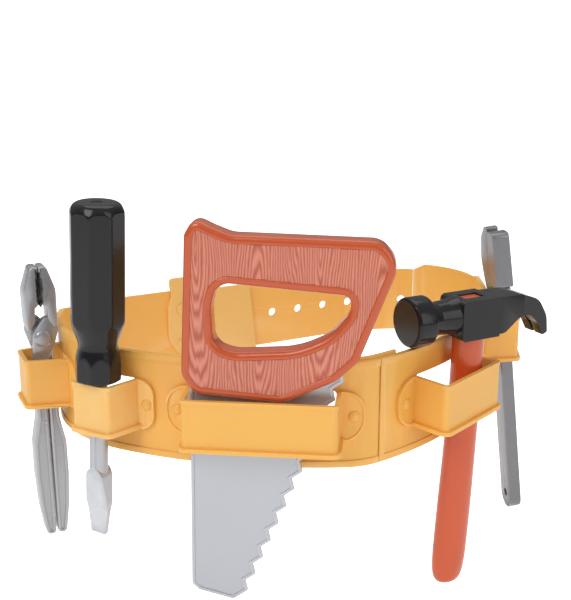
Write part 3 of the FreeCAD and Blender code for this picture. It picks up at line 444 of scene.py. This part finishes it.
def makeSawBlade():
    lowest, highest = Vector(saw["lowestTip"]), Vector(saw["highestTip"])
    step = (highest - lowest) / saw["teeth"]
    points = [tuple(lowest)]
    for index in range(1, saw["teeth"] + 1):
        tip = lowest + step * index
        points.append(tuple(tip + Vector(saw["notch"])))
        points.append(tuple(tip))
    radii = [0] * len(points) + saw["bladeRound"]
    points += [(41.5, saw["bladeTop"]), (-36.5, saw["bladeTop"]), (saw["bladeHeel"], -94.0), (-34.0, -97.6),
               (-15.4, -102.0)]
    rim = quarterRound(0.25, 2) + [(1.1, 0.0), (0.3, -0.1), (0.15, -0.45)]
    bm = reliefPlate(points, radii, saw["bladeThick"], rim)
    newPiece("saw_blade_pressed", finishMesh(bm, "saw_blade_pressed", sawPlace), "silver", "saw",
             ("saw_blade",))


makeSawHandle()
makeSawBlade()
print("stage: saw made")

screwdriver = dict(
    turn=-30.11, lean=2.5, foot=15.6, tall=95.9, grip=14.8, collar=12.6, neck=10.2,
    bore=4.6, dish=0.7, flats=8, gripFlat=0.93, collarFlat=0.92, steps=96,
)
screwdriverPlace = seat("screwdriver_handle", screwdriver["turn"], screwdriver["lean"], "Y", (0, 0, -1),
                        (0, 0, screwdriver["foot"]))


def makeDriverHandle():
    foot = screwdriver["foot"]
    top = foot + screwdriver["tall"]
    grip, collar, neck = screwdriver["grip"], screwdriver["collar"], screwdriver["neck"]
    bore, dish = screwdriver["bore"], screwdriver["dish"]
    profile = [(bore, foot), (collar, foot), (collar, foot + 9), (neck, foot + 20), (grip, foot + 33),
               (grip, top - 5.5), (grip * 0.8, top), (3.0, top), (2.4, top - dish), (0.0, top - dish)]
    rounds = [0, 1.2, 5.0, 8.0, 12.0, 6.0, 4.0, 0.3, 0.3, 0]
    bm = bmesh.new()
    faces = flatOutline(bm, profile + [(0.0, foot + 4), (bore, foot + 4)], rounds + [0, 0])
    bmesh.ops.delete(bm, geom=faces, context="FACES_ONLY")
    long = [edge for edge in bm.edges if edge.calc_length() > 3 * mm]
    for edge in long:
        bmesh.ops.subdivide_edges(bm, edges=[edge], cuts=max(1, int(edge.calc_length() / (1.6 * mm))))
    axis = [edge for edge in bm.edges if all(vertex.co.x < 1e-7 for vertex in edge.verts)]
    bmesh.ops.delete(bm, geom=axis, context="EDGES")
    spinRound(bm, (0, 0, 1), screwdriver["steps"])
    # each flat cuts a chord off the round, so that it ends in an arch where the round gets thinner
    part = 2 * math.pi / screwdriver["flats"]
    for vertex in bm.verts:
        radius = math.hypot(vertex.co.x, vertex.co.y)
        if radius < neck * 0.5 * mm:
            continue
        angle = math.atan2(vertex.co.y, vertex.co.x)
        offset = (angle + part / 2) % part - part / 2
        chord = grip * screwdriver["gripFlat"]
        if vertex.co.z < (foot + 21) * mm:
            chord = collar * screwdriver["collarFlat"]
        limit = chord * mm / math.cos(offset)
        if radius > limit:
            vertex.co.x *= limit / radius
            vertex.co.y *= limit / radius
    mesh = finishMesh(bm, "driver_grip", screwdriverPlace, 50)
    newPiece("driver_grip", mesh, "black", "screwdriver", ("screwdriver_handle",))


makeDriverHandle()
print("stage: screwdriver made")

hammer = dict(
    turn=28.43, pollRadius=13.8, faceAt=-42.0, neckAt=-29.0, blockAt=-12.0, low=31.2, axisUp=12.4,
    waist=8.9, shoulder=10.9, steps=80,
)
hammerPlace = seat("hammer_head", hammer["turn"], 0, "X", (-1, 0, 1),
                   (hammer["faceAt"], 0, hammer["low"] + hammer["axisUp"] + hammer["pollRadius"]))


def makeHammerNeck():
    # the hollow flare between the poll and the block
    level = hammer["low"] + hammer["axisUp"]
    reach = hammer["shoulder"]
    start, end = hammer["neckAt"] + 0.5, hammer["blockAt"]
    profile = [(start, 0.0), (start, hammer["waist"]), (-22.0, 9.3), (-16.5, 9.6), (end + 1.5, reach),
               (end + 4.0, reach), (end + 4.0, 0.0)]
    bm = bmesh.new()
    faces = flatOutline(bm, profile, [0, 0, 8.0, 14.0, 0.5, 0, 0])
    bmesh.ops.delete(bm, geom=faces, context="FACES_ONLY")
    axis = [edge for edge in bm.edges if all(abs(vertex.co.z) < 1e-7 for vertex in edge.verts)]
    bmesh.ops.delete(bm, geom=axis, context="EDGES")
    spinRound(bm, (1, 0, 0), hammer["steps"])
    bmesh.ops.translate(bm, vec=(0, 0, level * mm), verts=bm.verts)
    newPiece("hammer_neck", finishMesh(bm, "hammer_neck", hammerPlace), "black", "hammer")


makeHammerNeck()
print("stage: hammer made")

pliers = dict(
    turn=22.82, lean=-1.0, thick=12.0, gap=0.15,
    jaw=[(0.25, 20.5), (1.1, 22.0), (0.25, 23.5), (1.1, 25.0), (0.25, 26.5), (1.1, 28.0), (0.25, 29.5),
         (1.1, 31.0), (0.25, 32.5), (1.1, 34.0), (0.25, 35.5), (0.25, 41.5), (4.5, 42.0), (9.2, 28.0),
         (9.0, 10.0), (8.2, 4.0), (3.6, 9.8), (3.2, 18.0)],
    jawRound=[0.2, 0.3, 0.2, 0.3, 0.2, 0.3, 0.2, 0.3, 0.2, 0.3, 0.2, 0.6, 2.5, 12.0, 6.0, 1.0, 3.0, 1.0],
    grip=[(-0.5, -13.0), (-0.5, -121.5), (-5.8, -121.5), (-8.2, -104.0), (-9.3, -84.0), (-9.2, -64.0),
          (-6.1, -48.0), (-6.1, -13.0)],
    gripRound=[2.2, 2.3, 2.6, 20.0, 20.0, 8.0, 10.0, 2.2],
    web=[(9.0, 4.0), (7.5, 10.0), (2.0, 13.0), (-5.2, 4.0), (-6.0, -8.0), (-6.0, -18.0), (-0.8, -18.0),
         (6.0, -6.0)],
    webRound=[4.0, 4.0, 8.0, 6.0, 6.0, 1.0, 1.0, 5.0],
    pin=3.0, pinSteps=48,
)
pliersPlace = seat("pliers_pivot", pliers["turn"], pliers["lean"], "Y", (0, 0, 0), (0, 0, 0))


def makePliersHalf(name, node, body, flip):
    # jaw with teeth, round boss and web, and a grip with a sunk panel between bright ridges
    thick = pliers["thick"]
    plain = quarterRound(0.9, 3)
    bm = reliefPlate(pliers["jaw"], pliers["jawRound"], thick, plain)
    sunk = quarterRound(0.9, 3) + [(0.5, 0.0), (0.5, -0.35), (0.25, -0.65)]
    joinInto(bm, reliefPlate(pliers["grip"], pliers["gripRound"], thick, sunk))
    # the web crosses to the other side, and each half owns one face of the lap
    half = thick / 2 - pliers["gap"]
    lap = reliefPlate(pliers["web"], pliers["webRound"], half, quarterRound(0.7, 3))
    bmesh.ops.translate(lap, vec=(0, -flip * (pliers["gap"] + half) / 2 * mm, 0), verts=lap.verts)
    joinInto(bm, lap)
    bmesh.ops.scale(bm, vec=(flip, 1, 1), verts=bm.verts)
    newPiece(name, finishMesh(bm, name, pliersPlace), "pliersGrey", body, (node,))


def makePivotCap():
    bm = bmesh.new()
    profile = [(0.0, 0.0), (5.0, 0.0), (5.0, 0.5), (3.6, 1.4), (0.0, 1.6)]
    faces = flatOutline(bm, profile, [0, 0.2, 1.2, 2.0, 0])
    bmesh.ops.delete(bm, geom=faces, context="FACES_ONLY")
    axis = [edge for edge in bm.edges if all(vertex.co.x < 1e-7 for vertex in edge.verts)]
    bmesh.ops.delete(bm, geom=axis, context="EDGES")
    spinRound(bm, (0, 0, 1), pliers["pinSteps"])
    bmesh.ops.rotate(bm, matrix=Matrix.Rotation(math.radians(90), 3, "X"), verts=bm.verts)
    bmesh.ops.translate(bm, vec=(0, -(pliers["thick"] / 2 + 0.1) * mm, 0), verts=bm.verts)
    mirrored(bm)
    shank = bmesh.ops.create_cone(bm, cap_ends=True, segments=pliers["pinSteps"], radius1=pliers["pin"] * mm,
                                  radius2=pliers["pin"] * mm, depth=(pliers["thick"] + 0.3) * mm)["verts"]
    bmesh.ops.rotate(bm, matrix=Matrix.Rotation(math.radians(90), 3, "X"), verts=shank)
    newPiece("pliers_pin", finishMesh(bm, "pliers_pin", pliersPlace), "pliersGrey", "pliers",
             ("pliers_pivot",))


makePliersHalf("pliers_right", "pliers_lever", "pliers_lever", 1)
makePliersHalf("pliers_left", "pliers_half", "pliers", -1)
makePivotCap()
print("stage: pliers made")

thumbscrew = dict(
    turn=99.78, lean=-6.5, long=13.2, crest=4.0, root=3.3, pitch=1.32, rim=0.5, steps=40,
)


def makeThumbscrew():
    # a worm wheel: ridge after ridge along the axis, between two plain rims
    half = thumbscrew["long"] / 2
    crest, root, pitch = thumbscrew["crest"], thumbscrew["root"], thumbscrew["pitch"]
    profile = [(-half, 0.0), (-half, crest - 0.25), (-half + 0.25, crest), (-half + thumbscrew["rim"], crest)]
    at = -half + thumbscrew["rim"]
    while at + pitch <= half - thumbscrew["rim"] + 0.001:
        profile += [(at + pitch * 0.32, root), (at + pitch * 0.55, root), (at + pitch * 0.85, crest),
                    (at + pitch, crest)]
        at += pitch
    profile += [(half - 0.25, crest), (half, crest - 0.25), (half, 0.0)]
    bm = bmesh.new()
    corners = [bm.verts.new((x * mm, 0, radius * mm)) for x, radius in profile]
    for index in range(len(corners) - 1):
        bm.edges.new((corners[index], corners[index + 1]))
    spinRound(bm, (1, 0, 0), thumbscrew["steps"])
    place = seat("wrench_thumbscrew", thumbscrew["turn"], thumbscrew["lean"], "X", (0, 0, 0), (0, 0, 0))
    newPiece("wrench_worm", finishMesh(bm, "wrench_worm", place), "wrenchGrey", "wrench_thumbscrew",
             ("wrench_thumbscrew",))


makeThumbscrew()
print("stage: wrench made")

keptPieces = {
    "belt": ["left_belt_half", "right_belt_half", "tail_strap", "seam_tab", "pliers_loop", "screwdriver_loop",
             "saw_loop", "hammer_loop", "wrench_loop", "pliers_loop_rivets", "screwdriver_loop_rivets",
             "saw_loop_rivets", "hammer_loop_rivets", "wrench_loop_rivets"],
    # the end plate and its rivets get the paler plastic, which is painted light
    "plate": ["end_plate", "plate_rivets"],
    "silver": ["screwdriver_shaft"],
    "black": ["hammer_head"],
    "orange": ["hammer_handle"],
    "wrenchGrey": ["wrench_body", "wrench_jaw"],
}
roundings = dict(belt=0.4, plate=0.4, sawBorder=0.3, silver=0.3, black=0.6, orange=0.5, pliersGrey=0.6,
                 wrenchGrey=0.5)


def softenEdges(piece, width):
    # merges the loose triangles, then rounds every edge that isn't part of a smooth curve
    weld = piece.modifiers.new("weld", "WELD")
    weld.merge_threshold = 0.00001
    flats = piece.modifiers.new("whole flats", "DECIMATE")
    flats.decimate_type = "DISSOLVE"
    flats.angle_limit = math.radians(0.6)
    bevel = piece.modifiers.new("rounded edges", "BEVEL")
    bevel.width = width
    bevel.segments = 3
    bevel.limit_method = "ANGLE"
    bevel.angle_limit = math.radians(32)
    bevel.use_clamp_overlap = True
    bevel.harden_normals = True


for paint, names in keptPieces.items():
    for name in names:
        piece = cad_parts[name]
        for index in range(max(1, len(piece.data.materials))):
            if index < len(piece.data.materials):
                piece.data.materials[index] = paints[paint]
            else:
                piece.data.materials.append(paints[paint])
        softenEdges(piece, roundings[paint] * mm)
print("stage: CAD pieces dressed")

studio = dict(floorGap=0.0005, floorSize=12.0, key=8.0, fill=3.0, rim=3.2, world=0.50, glow=0.34, shine=0.62)

bpy.ops.mesh.primitive_plane_add(size=studio["floorSize"], location=(0, 0, low[2] - studio["floorGap"]))
floor = bpy.context.object
floor.name = "floor"
paper = bpy.data.materials.new("white paper")
paper.use_nodes = True
paperShader = paper.node_tree.nodes["Principled BSDF"]
paperShader.inputs["Base Color"].default_value = (0.92, 0.92, 0.92, 1)
paperShader.inputs["Roughness"].default_value = 0.8
paperShader.inputs["Emission Color"].default_value = (1, 1, 1, 1)
# the camera sees a brighter floor than the one that lights the toy
paperPath = paper.node_tree.nodes.new("ShaderNodeLightPath")
paperGlow = paper.node_tree.nodes.new("ShaderNodeMath")
paperGlow.operation = "MULTIPLY_ADD"
paperGlow.inputs[1].default_value = studio["shine"]
paperGlow.inputs[2].default_value = studio["glow"]
paper.node_tree.links.new(paperPath.outputs["Is Camera Ray"], paperGlow.inputs[0])
paper.node_tree.links.new(paperGlow.outputs[0], paperShader.inputs["Emission Strength"])
floor.data.materials.append(paper)

world = bpy.data.worlds.new("studio")
bpy.context.scene.world = world
world.use_nodes = True
skyNodes, skyLinks = world.node_tree.nodes, world.node_tree.links
soft = skyNodes["Background"]
soft.inputs["Strength"].default_value = studio["world"]
# a bright ceiling over a dim room, so that glossy rounds get a dark edge beside each highlight
skyCoords = skyNodes.new("ShaderNodeTexCoord")
skyAxes = skyNodes.new("ShaderNodeSeparateXYZ")
skyLinks.new(skyCoords.outputs["Generated"], skyAxes.inputs["Vector"])
shade = skyNodes.new("ShaderNodeValToRGB")
shade.color_ramp.elements[0].position = 0.05
shade.color_ramp.elements[0].color = (0.22, 0.22, 0.23, 1)
shade.color_ramp.elements[1].position = 0.65
shade.color_ramp.elements[1].color = (1, 1, 1, 1)
skyLinks.new(skyAxes.outputs["Z"], shade.inputs["Fac"])
skyLinks.new(shade.outputs["Color"], soft.inputs["Color"])
white = skyNodes.new("ShaderNodeBackground")
white.inputs["Color"].default_value = (1, 1, 1, 1)
skyPath = skyNodes.new("ShaderNodeLightPath")
skyMix = skyNodes.new("ShaderNodeMixShader")
skyLinks.new(skyPath.outputs["Is Camera Ray"], skyMix.inputs["Fac"])
skyLinks.new(soft.outputs["Background"], skyMix.inputs[1])
skyLinks.new(white.outputs["Background"], skyMix.inputs[2])
skyLinks.new(skyMix.outputs["Shader"], skyNodes["World Output"].inputs["Surface"])


def addPanelLight(name, place, aim, wide, tall, power):
    light = bpy.data.lights.new(name, "AREA")
    light.shape = "RECTANGLE"
    light.size = wide
    light.size_y = tall
    light.energy = power
    lamp = bpy.data.objects.new(name, light)
    bpy.context.collection.objects.link(lamp)
    lamp.location = place
    lamp.rotation_euler = (Vector(aim) - Vector(place)).to_track_quat("-Z", "Y").to_euler()
    return lamp


addPanelLight("key", (-0.7, -0.9, 1.0), (0, 0, 0), 0.8, 0.8, studio["key"])
addPanelLight("fill", (0.9, -0.8, 0.5), (0, 0, 0), 0.7, 0.9, studio["fill"])
addPanelLight("top", (0.0, 0.3, 1.1), (0, 0, 0), 1.0, 0.7, studio["rim"])

camera = bpy.data.objects.new("camera", bpy.data.cameras.new("camera"))
bpy.context.collection.objects.link(camera)
camera.location = (0.0, -0.690, 0.219)
camera.rotation_euler = (math.radians(90 - 15.3), 0, 0)
camera.data.lens = 69.6
camera.data.sensor_width = 36.0
bpy.context.scene.camera = camera
bpy.context.scene.view_settings.view_transform = "Standard"
print("stage: studio set")
